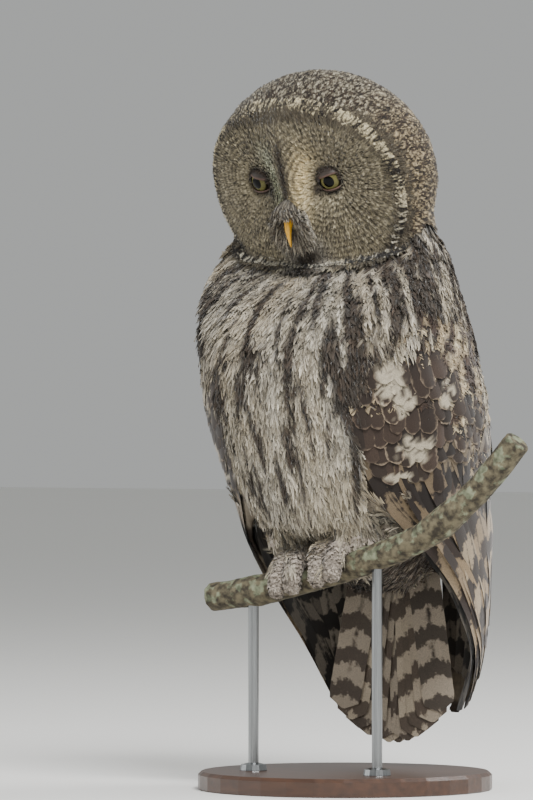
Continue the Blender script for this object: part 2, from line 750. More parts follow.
def streak_weight(points):
    """How dark the plumage is at each point of the body."""
    turn, height = body_angle(points), points[:, 2]
    around = turn * BODY_RADIUS / STREAK_WIDTH
    fray = smooth_noise(around * 5, height / (5 * MM), 3) - 0.5
    lean = (height - LEAN_HEIGHT) * STREAK_LEAN * np.sin(turn)
    base = smooth_noise(around + lean, height / STREAK_LENGTH + 0.7 * np.sin(around * 1.7), 1)
    cover = np.interp(height, STREAK_HEIGHTS, STREAK_COVER)
    cover = cover * (0.55 + 0.45 * soft_step(np.abs(turn + 0.25), 0.1, 0.9))
    cover = np.where(np.cos(turn) < 0, BACK_COVER, cover)
    limit = 0.80 - 0.56 * cover
    return soft_step(base + 0.26 * fray, limit - STREAK_EDGE, limit + STREAK_EDGE)


def throat_weight(points):
    """The shade of the black bib under the bill."""
    turn, height = body_angle(points), points[:, 2]
    return bell(turn, 0, BIB_HALF_TURN) * soft_step(height, BIB_LOW, BIB_HIGH)


def paint_body(points):
    return np.clip(streak_weight(points) * 0.94 + throat_weight(points), 0, 1)


def lay_body(name, node, low, high, length, width, comb):
    coat = Coat(name)
    roots = scatter(node, BODY_SPACING)
    roots = roots[(roots[:, 2] > low) & (roots[:, 2] <= high)]
    count = len(roots)
    lengths = length * MM * rng.uniform(0.75, 1.25, count)
    places, normals = walk(roots, down_lie(roots) + rng.normal(0, 0.10, (count, 3)), lengths)
    turn = body_angle(roots)
    front = np.cos(turn) > -0.1
    warm = smooth_noise(turn * 4, roots[:, 2] / (50 * MM), 8)[:, None]
    grey = tones(["#857E70", "#A59E8F", "#C3BCAD"], count, 0.16)
    tan = tones(["#8A7A60", "#AA997B", "#BDAE8F"], count, 0.16)
    share = np.clip(0.25 + 0.6 * (warm - 0.5), 0, 1)
    pale = np.where(front[:, None], grey * (1 - share) + tan * share, tones(["#7E7363", "#A3978A"], count))
    dark = tones(["#17100B", "#34271D"], count, 0.2)
    shafts = np.where(rng.random(count) < 0.5, 0.10, -0.5)
    looks = {"pale": pale, "dark": dark, "marks": marks(count, shafts, 4.0, np.where(front, 0.06, 0.35))}
    coat.lay(places, normals, width * MM * rng.uniform(0.8, 1.2, count), comb, looks, body_unwrap(roots),
             lift=(-5, 2.2), ragged=0.22, bend=0.06, paint=paint_body)
    return coat.finish(PLUME)


for piece in BODY_COATS:
    lay_body(*piece)

# %% [markdown]
# The crown and nape are a close, fine speckle: short dark feathers, each with two or three cream bars.

# %% Crown and nape
CROWN_COMB = comb_template(5, 0.32, 0.6)
FLECK = 2.4 * MM
CROWN_SPACING = 3.3 * MM
NAPE_EXTRA = 14


def paint_crown(points):
    """Cream flecks in rows across the feathers, on dark brown."""
    return soft_step(solid_noise(points, FLECK), 0.65, 0.53)


def lay_crown():
    coat = Coat("crown_feathers")
    roots = scatter("head", CROWN_SPACING)
    local = into_head(roots)
    roots = roots[(disc_reach(local) > 0.93) | (local[:, 1] > -12 * MM)]
    local = into_head(roots)
    count = len(roots)
    away = local - DISC_MIDDLE
    away[:, 1] += 60 * MM
    away[:, 2] -= 25 * MM * (local[:, 1] > 0)
    nape = soft_step(roots[:, 2], 0.52, 0.47) * soft_step(roots[:, 1], -0.02, 0.01)
    lengths = (rng.uniform(8, 12, count) + NAPE_EXTRA * nape) * MM
    lie = away @ HEAD_TURN.T
    lie = lie / np.linalg.norm(lie, axis=1, keepdims=True) + np.array([0, 0, -1.5]) * nape[:, None]
    places, normals = walk(roots, lie, lengths, steps=3)
    side = soft_step(np.abs(local[:, 0]), 50 * MM, 90 * MM)[:, None]
    pale = tones(["#8F8772", "#B9B19C"], count) * (1 - side * 0.7)
    pale += tones(["#94815F", "#BBA67F"], count) * side * 0.7
    looks = {"pale": pale, "dark": tones(["#1B1510", "#352A20"], count),
             "marks": marks(count, -0.5, 3.0, 0.12)}
    coat.lay(places, normals, lengths * 0.26, CROWN_COMB, looks, head_unwrap(roots), lift=(-3, 1.2),
             ragged=0.18, bend=0.05, paint=paint_crown)
    return coat.finish(PLUME)


lay_crown()

# %% [markdown]
# The facial disc is made of thin, open feathers that stand out from each eye like rays.
# Dark and pale bars on them line up into the rings that give the owl its look.
# Between the eyes the feathers turn up into two pale crescents with a dark groove between them.

# %% Facial disc
DISC_COMB = comb_template(4, 0.50, 0.30)
RING_SPACING = 4.7 * MM
DISC_SPACING = 1.85 * MM
CRESCENT_HEIGHTS = np.array([-30, 0, 25, 50]) * MM
CRESCENT_MIDDLES = np.array([9, 13, 19, 25]) * MM
CRESCENT_HALF_WIDTH = 8 * MM
BARE_ROUND_EYE = 8.0 * MM
TURN_UP_FROM = -8 * MM


def eye_offset(local):
    """Offset from the nearer eye's middle, in the head's frame."""
    side = np.where(local[:, 0] < 0, -1.0, 1.0)
    return local - EYE_PLACE * np.stack([side, np.ones(len(side)), np.ones(len(side))], axis=1)


def crescent_weight(local):
    """The pale brow that rises between each eye and the groove."""
    up = local[:, 2]
    middle = np.interp(up, CRESCENT_HEIGHTS, CRESCENT_MIDDLES)
    fade = soft_step(up, -32 * MM, 0) * soft_step(up, 50 * MM, 26 * MM)
    return bell(np.abs(local[:, 0]), middle, CRESCENT_HALF_WIDTH) * fade


def paint_disc(points):
    """The dark marks of the face, laid over each other."""
    local = into_head(points)
    offset, crescent = eye_offset(local), crescent_weight(local)
    side, up = np.abs(local[:, 0]), local[:, 2]
    outward = offset[:, 0] * np.sign(local[:, 0])
    far = np.hypot(offset[:, 0], offset[:, 2])
    turn = np.arctan2(offset[:, 2], offset[:, 0])
    wobble = smooth_noise(turn * 5, far / (9 * MM), 21) * 0.5
    ring = 0.5 + 0.5 * np.sin(2 * math.pi * (far / RING_SPACING + wobble))
    fray = smooth_noise(turn * 38, far / (3 * MM), 22)
    rings = soft_step(ring * 0.62 + fray * 0.38, 0.36, 0.66)
    rings = rings * (0.30 + 0.60 * soft_step(far, 14 * MM, 32 * MM))
    brow = soft_step(offset[:, 2] - 0.3 * outward, -6 * MM, 8 * MM)
    dark = {
        "rings": rings * (1 - 0.85 * crescent),
        "groove": bell(side, 0, 4.6 * MM) * soft_step(up, -10 * MM, 8 * MM) * soft_step(up, 70 * MM, 40 * MM),
        "rim": 0.8 * soft_step(disc_reach(local), 0.90, 0.97),
        "chin": bell(side, 4 * MM, 15 * MM) * soft_step(up, -36 * MM, -45 * MM),
        "beside the bill": 0.6 * bell(side, 9 * MM, 4 * MM) * bell(up, -38 * MM, 9 * MM),
        "corner of the eye": bell(outward, -11 * MM, 6 * MM) * bell(offset[:, 2], -7 * MM, 8 * MM),
        "round the eye": bell(far, 12 * MM, 3.2 * MM) * (0.62 + 0.36 * brow) * (1 - 0.6 * crescent),
    }
    return np.clip(np.maximum.reduce(list(dark.values())), 0, 1)


def lay_disc():
    coat = Coat("facial_disc_feathers")
    roots = scatter("head", DISC_SPACING)
    local = into_head(roots)
    offset = eye_offset(local)
    far = np.hypot(offset[:, 0], offset[:, 2])
    keep = on_face(local) & (far > BARE_ROUND_EYE)
    roots, local, offset, far = roots[keep], local[keep], offset[keep], far[keep]
    count, side, up = len(roots), local[:, 0], local[:, 2]
    lie = offset.copy()
    lie[:, 1] = 0
    middle = bell(side, 0, 12 * MM)[:, None]
    upward = np.where(up > TURN_UP_FROM, 1.0, -1.0)
    straight = np.stack([np.sign(side) * 0.06, np.zeros(count), upward], axis=1)
    lie = lie / np.linalg.norm(lie, axis=1, keepdims=True) * (1 - middle) + straight * middle
    lengths = np.clip(far * 0.30, 5 * MM, 13 * MM) * rng.uniform(0.8, 1.25, count)
    places, normals = walk(roots, (lie + rng.normal(0, 0.08, (count, 3))) @ HEAD_TURN.T, lengths, steps=3)
    crescent = 0.9 * crescent_weight(local)[:, None]
    beard = 0.7 * (bell(np.abs(side), 17 * MM, 9 * MM) * soft_step(up, -20 * MM, -34 * MM))[:, None]
    pale = tones(["#80775F", "#998F75", "#B1A78D"], count, 0.16)
    warm, cool = tones(["#DCC48E", "#EEDDB2"], count), tones(["#C2C6A6", "#DCDEC6"], count)
    pale = pale * (1 - crescent) + np.where((side > 0)[:, None], warm, cool) * crescent
    pale = pale * (1 - beard) + tones(["#B5AFA2", "#D0CBC0"], count) * beard
    looks = {"pale": pale, "dark": tones(["#211B15", "#3A3128"], count),
             "marks": marks(count, -0.5, 2.0, 0.0)}
    coat.lay(places, normals, np.full(count, 1.25 * MM), DISC_COMB, looks, head_unwrap(roots),
             lift=(-1.0, 1.3), camber=0.05, ragged=0.2, bend=0.05, paint=paint_disc)
    return coat.finish(PLUME)


lay_disc()

# %% [markdown]
# Round the disc runs the ruff, a narrow rim of small stiff feathers, cream with black bars.

# %% Ruff
RUFF_COUNT = 4200
RUFF_INNER, RUFF_OUTER, RUFF_DEPTH = 0.94, 1.07, -25 * MM
RUFF_COMB = comb_template(4, 0.25, 0.6)


def paint_ruff(points):
    local = into_head(points)
    turn = np.arctan2(local[:, 2], local[:, 0])
    fleck = smooth_noise(turn * 70, disc_reach(local) * 40, 31)
    patch = smooth_noise(turn * 7, disc_reach(local) * 4, 32)
    return soft_step(fleck + 0.4 * (patch - 0.5), 0.44, 0.52)


def lay_ruff():
    coat = Coat("ruff_feathers")
    turn = rng.uniform(0, 2 * math.pi, RUFF_COUNT)
    reach = rng.uniform(RUFF_INNER, RUFF_OUTER, RUFF_COUNT)
    sway = np.stack([np.cos(turn), np.sin(turn)], axis=1)
    sway = np.sign(sway) * np.abs(sway) ** 0.8
    across, up = DISC_HALF_WIDTH * reach * sway[:, 0], DISC_HALF_HEIGHT * reach * sway[:, 1]
    local = np.stack([across, np.full(RUFF_COUNT, RUFF_DEPTH), up], axis=1)
    lie = np.stack([sway[:, 0], np.full(RUFF_COUNT, 0.2), sway[:, 1]], axis=1)
    lie += rng.normal(0, 0.25, (RUFF_COUNT, 3))
    lengths = rng.uniform(4, 7, RUFF_COUNT) * MM
    places, normals = walk(out_of_head(local), lie @ HEAD_TURN.T, lengths, steps=2)
    low = soft_step(up, 10 * MM, -50 * MM)[:, None]
    pale = tones(["#B8AA86", "#DBCFAE"], RUFF_COUNT) * (1 - low)
    pale += tones(["#BDB59F", "#DDD6C4"], RUFF_COUNT) * low
    looks = {"pale": pale, "dark": tones(["#0E0B09", "#1F1813"], RUFF_COUNT),
             "marks": marks(RUFF_COUNT, -0.5, 1.4, 0.3)}
    coat.lay(places, normals, np.full(RUFF_COUNT, 1.4 * MM), RUFF_COMB, looks,
             head_unwrap(places[:, 0]), lift=(-0.5, 1.8), ragged=0.15, bend=0.12, paint=paint_ruff)
    return coat.finish(PLUME)


lay_ruff()

# %% [markdown]
# The shoulder of each folded wing is soft and marbled in brown and cream.
# Below it the coverts lie in rows like tiles: dark brown, round ended, with narrow pale rims.
# Cream patches show where the outer webs of the scapulars lie open.

# %% Shoulder feathers and coverts
SHOULDER_COMB = comb_template(16, 0.26, 0.55)
COVERT_BLADE = blade_template(16)
CREAM_PATCHES = [(0.362, 50, 0.010, 0.030), (0.338, 56, 0.007, 0.014), (0.345, 76, 0.006, 0.014),
                 (0.296, 62, 0.015, 0.010), (0.272, 58, 0.014, 0.004), (0.425, 96, 0.008, 0.024),
                 (0.345, 112, 0.007, 0.040), (0.375, 128, 0.007, 0.045), (0.330, 141, 0.007, 0.040)]
COVERT_ROWS = [(0.385, 30, 66), (0.368, 32, 76), (0.351, 33, 92), (0.334, 34, 118), (0.317, 36, 150),
               (0.300, 44, 160)]
COVERT_STEP = 10.5 * MM
COVERT_LOW, COVERT_RISE = 285 * MM, 75 * MM
ROW_LIFT = 0.35 * MM


def cream_weight(points):
    """How cream the wing is at each point, from the open patches in the photograph."""
    turn = np.abs(np.degrees(body_angle(points)))
    fray = (smooth_noise(points[:, 0] / (2.2 * MM), points[:, 2] / (8 * MM), 41) - 0.5) * 0.9
    weight = np.zeros(len(points))
    for height, degrees, half_wide, half_high in CREAM_PATCHES:
        rise = (points[:, 2] - height) / half_high
        gap = np.hypot(rise, np.radians(turn - degrees) * BODY_RADIUS / half_wide)
        weight = np.maximum(weight, soft_step(gap + fray, 1.14, 0.96))
    speck = smooth_noise(points[:, 0] / (2 * MM), points[:, 2] / (3 * MM), 44)
    return weight * soft_step(speck, 0.16, 0.36) * 0.92


def paint_shoulder(points):
    turn, height = body_angle(points) * BODY_RADIUS, points[:, 2]
    marble = smooth_noise(turn / (5.5 * MM), height / (12 * MM), 42)
    marble = marble * 0.65 + smooth_noise(turn / (2.5 * MM), height / (4 * MM), 43) * 0.35
    return soft_step(marble, 0.40, 0.54)


def lay_coverts(side_name):
    coat = Coat(f"wing_coverts_{side_name}")
    side = SIDES[side_name]
    roots = scatter(f"wing_{side_name}", 5.4 * MM)
    turn = np.abs(body_angle(roots))
    roots = roots[roots[:, 2] > COVERT_LOW + COVERT_RISE * soft_step(np.degrees(turn), 110, 60)]
    turn = np.abs(body_angle(roots))
    count = len(roots)
    lie = np.stack([side * 0.25 * np.cos(turn), 0.30 * np.sin(turn), np.full(count, -1.0)], axis=1)
    lengths = rng.uniform(26, 38, count) * MM
    places, normals = walk(roots, lie + rng.normal(0, 0.08, (count, 3)), lengths)
    pale = tones(["#83735A", "#A8977A", "#BDAF90"], count, 0.2)
    looks = {"pale": pale, "dark": tones(["#241A14", "#43342A"], count),
             "marks": marks(count, np.where(rng.random(count) < 0.4, 0.12, -0.5), 3.0, 0.1)}
    coat.lay(places, normals, rng.uniform(6.5, 9.0, count) * MM, SHOULDER_COMB, looks, body_unwrap(roots),
             lift=(-3, 2.0), ragged=0.15, bend=0.05, paint=paint_shoulder, tint=(cream_weight, "#B0A691"))
    lay_covert_rows(coat, side_name)
    return coat.finish(PLUME)


print("rows of coverts", len(COVERT_ROWS), "and cream patches", len(CREAM_PATCHES))

# %% [markdown]
# The tiled coverts start where a level line from outside meets the wing, so that they follow its
# real face, and each higher row is lifted a little over the row below it.

# %% Rows of coverts
FROM_INSIDE, FROM_OUTSIDE = 10 * MM, 400 * MM


def outside_point(tree, angle, height, inside=False):
    """Where a level line from outside, or from the body's middle, meets the wing."""
    out = Vector((math.sin(angle), -math.cos(angle), 0))
    start = Vector((0, BODY_AXIS_Y, height)) + out * (FROM_INSIDE if inside else FROM_OUTSIDE)
    place, normal, _, _ = tree.ray_cast(start, out if inside else -out)
    return place, normal


def lay_covert_rows(coat, side_name):
    """Round-ended coverts in staggered rows, laid from the lowest row up, each row on the one below."""
    side = SIDES[side_name]
    tree = WING_TREES[side_name]
    starts, level = [], []
    for row, (height, first, last) in enumerate(COVERT_ROWS[::-1]):
        steps = int(math.radians(last - first) * BODY_RADIUS / COVERT_STEP)
        for k in range(steps + 1):
            turn = math.radians(first + (last - first) * (k + 0.5 * (row % 2)) / max(steps, 1))
            place, _ = outside_point(tree, side * turn, height + rng.normal(0, 0.002))
            if place is not None:
                starts.append(tuple(place))
                level.append(row)
    roots = np.array(starts)
    count = len(roots)
    turn = np.abs(body_angle(roots))
    lie = np.stack([side * 0.20 * np.cos(turn), 0.28 * np.sin(turn), np.full(count, -1.0)], axis=1)
    lengths = rng.uniform(30, 44, count) * MM
    places, normals = walk(roots, lie + rng.normal(0, 0.07, (count, 3)), lengths)
    pale = tones(["#5C4E41", "#93836F"], count, 0.2)
    dark = tones(["#1C140F", "#33271F"], count, 0.2)
    looks = {"pale": pale, "dark": dark, "marks": marks(count, rng.uniform(0.84, 1.0, count), 3.0, 0.35)}
    coat.lay(places, normals, rng.uniform(7.0, 9.5, count) * MM, COVERT_BLADE, looks, body_unwrap(roots),
             lift=(0.0, 2.6), camber=0.16, ragged=0.05, bend=0.05, rounding=0.26,
             tint=(cream_weight, "#AAA08C"))
    rise = normals[:, 2] * (np.array(level) * ROW_LIFT)[:, None]
    coat.corners[-1] = coat.corners[-1] + np.repeat(rise, len(COVERT_BLADE[0]), axis=0)


WING_TREES = {name: surface_tree(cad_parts[f"wing_{name}"].data) for name in SIDES}
print("wings ready for their rows:", ", ".join(WING_TREES))

# %% [markdown]
# Flight feathers are long stiff blades. They follow lines from the wrist to the wing tip,
# a fixed share of the way from the wing's front edge to its back edge, each on top of the last.
# Their bars are nearly as long as the gaps between them, and never quite meet from blade to blade.

# %% Flight feathers
# For each kind: how many, its share of the wing's width at the top and at the end with what the last
# blade adds, its lowest point and the step to the next, its lift and step in mm, and if it lies inside.
BLADE_KINDS = {
    "primaries": (10, (0.04, 0.36), (0.06, 0.90), (68, 4), (0.6, 0.12), False),
    "secondaries": (12, (0.36, 0.60), (0.40, 0.57), (98, 8), (1.9, 0.12), False),
    "inner faces": (10, (0.06, 0.90), (0.06, 0.90), (66, 4), (0.3, 0.10), True),
}
WING_BOTTOM, WING_TOP = 66 * MM, 430 * MM
BLADE_TOP, INNER_TOP, HANG_HEIGHT = 315 * MM, 240 * MM, 300 * MM


def wing_edges(tree, side):
    """Front and back angle of the folded wing at each height, found with level lines all round."""
    heights, front, back = np.linspace(WING_BOTTOM, WING_TOP, 30), [], []
    turns = np.radians(np.arange(20, 176, 1.5))
    for height in heights:
        met = [turn for turn in turns if outside_point(tree, side * turn, height)[0] is not None]
        front.append(met[0])
        back.append(met[-1])
    return heights, np.array(front), np.array(back)


def smoothed(rows, rounds=6):
    """Blade spines and normals with the solid's facets averaged out; the ends stay."""
    for _ in range(rounds):
        rows[:, 1:-1] = (rows[:, :-2] + 2 * rows[:, 1:-1] + rows[:, 2:]) / 4
    return rows


def blade_line(tree, side, edges, shares, low, inside=False):
    """A blade's spine down the wing, at the shares of its width given for the top and the end."""
    heights, front, back = edges
    top_first, top_last = np.interp(HANG_HEIGHT, heights, front), np.interp(HANG_HEIGHT, heights, back)
    spine, ups = [], []
    for step, height in enumerate(np.linspace(INNER_TOP if inside else BLADE_TOP, low, BLADE_ROWS)):
        share = shares[0] + (shares[1] - shares[0]) * step / (BLADE_ROWS - 1)
        first, last = np.interp(height, heights, front), np.interp(height, heights, back)
        hang = top_first * (1 - share) + top_last * share
        turn = 0.7 * (first * (1 - share) + last * share) + 0.3 * hang
        turn = min(max(turn, first + (0.06 + 0.3 * share) * (last - first)), last - 0.04 * (last - first))
        place, normal = outside_point(tree, side * turn, height, inside)
        if place is None:
            place, normal = tree.find_nearest(Vector(spine[-1]) + Vector((0, 0, -7 * MM)))[:2]
        spine.append(tuple(place))
        ups.append(tuple(normal))
    return spine, ups


def lay_flight(side_name):
    coat = Coat(f"flight_feathers_{side_name}")
    side, tree = SIDES[side_name], WING_TREES[side_name]
    edges = wing_edges(tree, side)
    lines, layer, inner = [], [], []
    for count, top, end, low, lift, inside in BLADE_KINDS.values():
        for i in range(count):
            share = i / (count - 1)
            shares = (top[0] + top[1] * share, end[0] + end[1] * share)
            lines.append(blade_line(tree, side, edges, shares, (low[0] + low[1] * i) * MM, inside))
            layer.append((lift[0] + lift[1] * i) * MM)
            inner.append([inside])
    total = len(lines)
    places = smoothed(np.array([line[0] for line in lines]))
    normals = smoothed(np.array([line[1] for line in lines]), 14)
    normals /= np.linalg.norm(normals, axis=2, keepdims=True)
    places = places + normals * np.array(layer)[:, None, None]
    inner_pale = tones(["#5D564D", "#7C7468"], total, 0.08)
    outer_pale = tones(["#8F7A5E", "#A8957A"], total, 0.08)
    inner_dark = tones(["#1A1613"], total, 0.08)
    outer_dark = tones(["#241A14", "#352820"], total, 0.08)
    pale, dark = np.where(inner, inner_pale, outer_pale), np.where(inner, inner_dark, outer_dark)
    looks = {"pale": pale, "dark": dark, "marks": marks(total, 0.06, rng.uniform(4.6, 5.2, total), 1.0)}
    coat.lay(places, normals, np.full(total, 9.5 * MM), BLADE, looks, np.zeros((total, 2)), lift=(0, 0.5),
             camber=0.10, ragged=0.01, rounding=0.05)
    spread_map(coat, total)
    return coat.finish(PLUME)


def spread_map(coat, total):
    """Long blades get a wide strip each on the map, so that their bars survive a bake."""
    cell = np.repeat(np.arange(total), len(BLADE[0]))
    along, across = np.tile(BLADE[0], total), np.tile(BLADE[1], total)
    coat.map = [np.stack([(cell + 0.5 + 0.45 * across) / total, 0.02 + 0.96 * along], axis=1)]


print("blades for each wing", sum(kind[0] for kind in BLADE_KINDS.values()))
for name in SIDES:
    lay_coverts(name)
    lay_flight(name)

# %% [markdown]
# The tail's twelve feathers fan out a little and lie on each other like a hand of cards, the middle
# pair on top. They stand in for the solid tail, which is only their outline.

# %% Tail
TAIL_FEATHERS = 12
TAIL_LENGTH, TAIL_SHORTER = 225 * MM, 26 * MM
TAIL_FAN = math.radians(10)
TAIL_ROOT_HALF_WIDTH, TAIL_ROOT_HEIGHT, TAIL_BACK = 17 * MM, 262 * MM, 86.5 * MM
TAIL_SLOPE = 0.044
TAIL_VANE = 17 * MM


def lay_tail():
    coat = Coat("tail_feathers")
    places = []
    for i in range(TAIL_FEATHERS):
        share = i / (TAIL_FEATHERS - 1) * 2 - 1
        turn = share * TAIL_FAN
        layer = abs(i - (TAIL_FEATHERS - 1) / 2) * 0.9 * MM
        steps = np.linspace(0, TAIL_LENGTH - TAIL_SHORTER * share ** 2, BLADE_ROWS)
        places.append([(share * TAIL_ROOT_HALF_WIDTH + math.sin(turn) * step,
                        TAIL_BACK - layer - TAIL_SLOPE * step,
                        TAIL_ROOT_HEIGHT - math.cos(turn) * step) for step in steps])
    normals = np.tile(np.array([0.0, 1.0, 0.0]), (TAIL_FEATHERS, BLADE_ROWS, 1))
    pale = tones(["#8B8071", "#A0937F"], TAIL_FEATHERS, 0.08)
    dark = tones(["#2B221B", "#3D3026"], TAIL_FEATHERS, 0.08)
    looks = {"pale": pale, "dark": dark,
             "marks": marks(TAIL_FEATHERS, 0.05, rng.uniform(6.2, 6.9, TAIL_FEATHERS), 0.9)}
    coat.lay(np.array(places), normals, np.full(TAIL_FEATHERS, TAIL_VANE), BLADE, looks,
             np.zeros((TAIL_FEATHERS, 2)), lift=(0, 0), camber=0.05, ragged=0.01, rounding=0.06)
    spread_map(coat, TAIL_FEATHERS)
    made = coat.finish(PLUME)
    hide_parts("tail")
    return made


lay_tail()

# %% [markdown]
# Legs and toes are feathered to the claws, in short pale grey down.

# %% Legs and toes
TOE_COMB = comb_template(4, 0.3, 0.4)
ANKLE = np.array([21, -42, 245]) * MM


def lay_feet():
    coat = Coat("leg_and_toe_feathers")
    for name, side in SIDES.items():
        for node, spacing, length in ((f"leg_{name}", 3.2, 17), (f"foot_{name}", 2.3, 10)):
            roots = scatter(node, spacing * MM)
            count = len(roots)
            lie = roots - ANKLE * np.array([side, 1, 1])
            lie[:, 2] -= 10 * MM
            lengths = length * MM * rng.uniform(0.8, 1.2, count)
            places, normals = walk(roots, lie, lengths, steps=3)
            looks = {"pale": tones(["#8F8579", "#B3A89B"], count),
                     "dark": tones(["#5B5047", "#75695E"], count),
                     "marks": marks(count, -0.1, 2.0, 0.25)}
            coat.lay(places, normals, lengths * 0.22, TOE_COMB, looks, body_unwrap(roots), lift=(-2, 2.2),
                     ragged=0.25, bend=0.1)
    return coat.finish(PLUME)


lay_feet()

# %% [markdown]
# Each eye is a glossy ball: a black pupil, a pale olive-yellow iris with fine rays, a dark rim.
# The lids are thin folds of skin over the ball, the upper one lowered as in the photograph.

# %% Eyes
IRIS_RADIUS, IRIS_RIM = 9.0 * MM, 1.4 * MM
PUPIL_RADIUS, PUPIL_EDGE = 5.0 * MM, 0.2 * MM
GAZE_OUT, GAZE_UP = 0.22, -0.02
EYE_RINGS, EYE_TURNS = 40, 64


def eye_axes(side):
    """The line of sight in the head's frame, with the directions across and up from it."""
    gaze = Vector((side * GAZE_OUT, -1, GAZE_UP)).normalized()
    across = gaze.cross(Vector((0, 0, 1))).normalized()
    return gaze, across, across.cross(gaze)


def eye_centre(side):
    return Vector((side * EYE_PLACE[0], EYE_PLACE[1], EYE_PLACE[2]))


def eye_material():
    """Polished glass, painted from behind: a sharp highlight over a deep, matt colour."""
    material, tree, shader = new_material("glass eye", 0.05, Specular_IOR_Level=0.12)
    from_axis = add(tree, "ShaderNodeAttribute", {"attribute_name": "from_axis"}).outputs["Fac"]
    round_axis = add(tree, "ShaderNodeAttribute", {"attribute_name": "round_axis"}).outputs["Vector"]
    rays = add(tree, "ShaderNodeTexNoise", inputs={"Vector": round_axis, "Scale": 9.0, "Detail": 4.0})
    iris = add(tree, *BLEND, {0: rays, 6: rgba("#403D22"), 7: rgba("#757045")})
    rim = add(tree, *SMOOTH, {"Value": from_axis, "From Min": IRIS_RADIUS - IRIS_RIM,
                              "From Max": IRIS_RADIUS})
    colour = add(tree, *BLEND, {0: rim, 6: iris, 7: rgba("#17120D")})
    pupil = add(tree, *SMOOTH, {"Value": from_axis, "From Min": PUPIL_RADIUS - PUPIL_EDGE,
                                "From Max": PUPIL_RADIUS + PUPIL_EDGE, "To Min": 1.0, "To Max": 0.0})
    give(tree, shader, {"Base Color": add(tree, *BLEND, {0: pupil, 6: colour, 7: rgba("#030303")})})
    return material


EYE_MATERIAL = eye_material()


def ball_mesh(name, side):
    """A ball with its poles on the line of sight. Each point knows its distance and turn from that line."""
    gaze, across, up = eye_axes(side)
    points, reach, swirl, quads = [], [], [], []
    for k in range(EYE_RINGS + 1):
        polar = math.pi * k / EYE_RINGS
        for j in range(EYE_TURNS):
            turn = 2 * math.pi * j / EYE_TURNS
            radial = across * math.cos(turn) + up * math.sin(turn)
            ray = gaze * math.cos(polar) + radial * math.sin(polar)
            points.append(tuple(eye_centre(side) + ray * EYE_RADIUS))
            reach.append(EYE_RADIUS * (math.sin(polar) if polar < math.pi / 2 else 2))
            swirl += [math.cos(turn), math.sin(turn), 0.15 * math.sin(polar)]
            if k < EYE_RINGS:
                a, b = k * EYE_TURNS + j, k * EYE_TURNS + (j + 1) % EYE_TURNS
                quads.append((a, a + EYE_TURNS, b + EYE_TURNS, b))
    mesh = bpy.data.meshes.new(name)
    mesh.from_pydata([tuple(point) for point in out_of_head(np.array(points))], [], quads)
    mesh.attributes.new("from_axis", "FLOAT", "POINT").data.foreach_set("value", reach)
    mesh.attributes.new("round_axis", "FLOAT_VECTOR", "POINT").data.foreach_set("vector", swirl)
    return mesh


def make_eye(name):
    mesh = ball_mesh(f"eyeball_{name}", SIDES[name])
    weld = bmesh.new()
    weld.from_mesh(mesh)
    bmesh.ops.remove_doubles(weld, verts=weld.verts, dist=1e-6)
    bmesh.ops.recalc_face_normals(weld, faces=weld.faces)
    weld.to_mesh(mesh)
    weld.free()
    mesh.shade_smooth()
    mesh.materials.append(EYE_MATERIAL)
    made = new_object(mesh.name, mesh)
    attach(made, "root")
    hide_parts(f"eye_{name}")
    print(made.name, "faces", len(mesh.polygons))
    return made


for name in SIDES:
    make_eye(name)

# %% [markdown]
# An owl's lids are bare, dark skin with a paler lip, drawn close over the ball. The upper one hangs.
# Each lid is a grid of points on a slightly larger ball, from its edge to far behind it, so it can't
# cut into the eye. Solidify then gives the grid its thickness.

# %% Eyelids
LID_CLEAR, LID_FOLD, LID_THICK = 0.5 * MM, 1.1 * MM, 0.5 * MM
LID_REACH = 1.35
LID_COLUMNS, LID_ROWS = 36, 8
LIDS = {"upper": (0.43, LID_REACH, 0.26), "lower": (-0.61, -LID_REACH, 0.10)}


def lid_material():
    """Bare skin: half matt, with a fine grain, and a lip that the blood below makes paler."""
    material, tree, shader = new_material("eyelid skin", 0.55)
    edge = add(tree, "ShaderNodeAttribute", {"attribute_name": "lid_edge"}).outputs["Fac"]
    place = add(tree, "ShaderNodeTexCoord").outputs["Object"]
    grain = add(tree, "ShaderNodeTexNoise", inputs={"Vector": place, "Scale": 10000.0})
    bare = add(tree, *BLEND, {0: grain, 6: rgba("#1C1511"), 7: rgba("#33281F")})
    lip = add(tree, *SMOOTH, {"Value": edge, "From Min": 0.02, "From Max": 0.2, "To Min": 1.0, "To Max": 0.0})
    give(tree, shader, {"Base Color": add(tree, *BLEND, {0: lip, 6: bare, 7: rgba("#553D33")})})
    return material


def lid_points(side, edge, far, tilt):
    """Points over the ball, column by column from the lid's edge back, each with its share of the way."""
    gaze, across, up = eye_axes(side)
    outward = across if across.x * side > 0 else -across
    for column in range(LID_COLUMNS + 1):
        swing = LID_REACH * (2 * column / LID_COLUMNS - 1)
        opening = max(math.cos(swing / LID_REACH * math.pi / 2), 0) ** 0.6
        lip = (edge + tilt * math.sin(swing)) * (0.25 + 0.75 * opening)
        for row in range(LID_ROWS + 1):
            share = row / LID_ROWS
            rise = lip + (far - lip) * share
            fold = LID_FOLD * (0.6 + 0.4 * math.sin(math.pi * min(share * 2, 1)))
            ray = (gaze * math.cos(rise) * math.cos(swing) + outward * math.sin(swing) * math.cos(rise)
                   + up * math.sin(rise))
            yield tuple(eye_centre(side) + ray * (EYE_RADIUS + LID_CLEAR + fold)), share


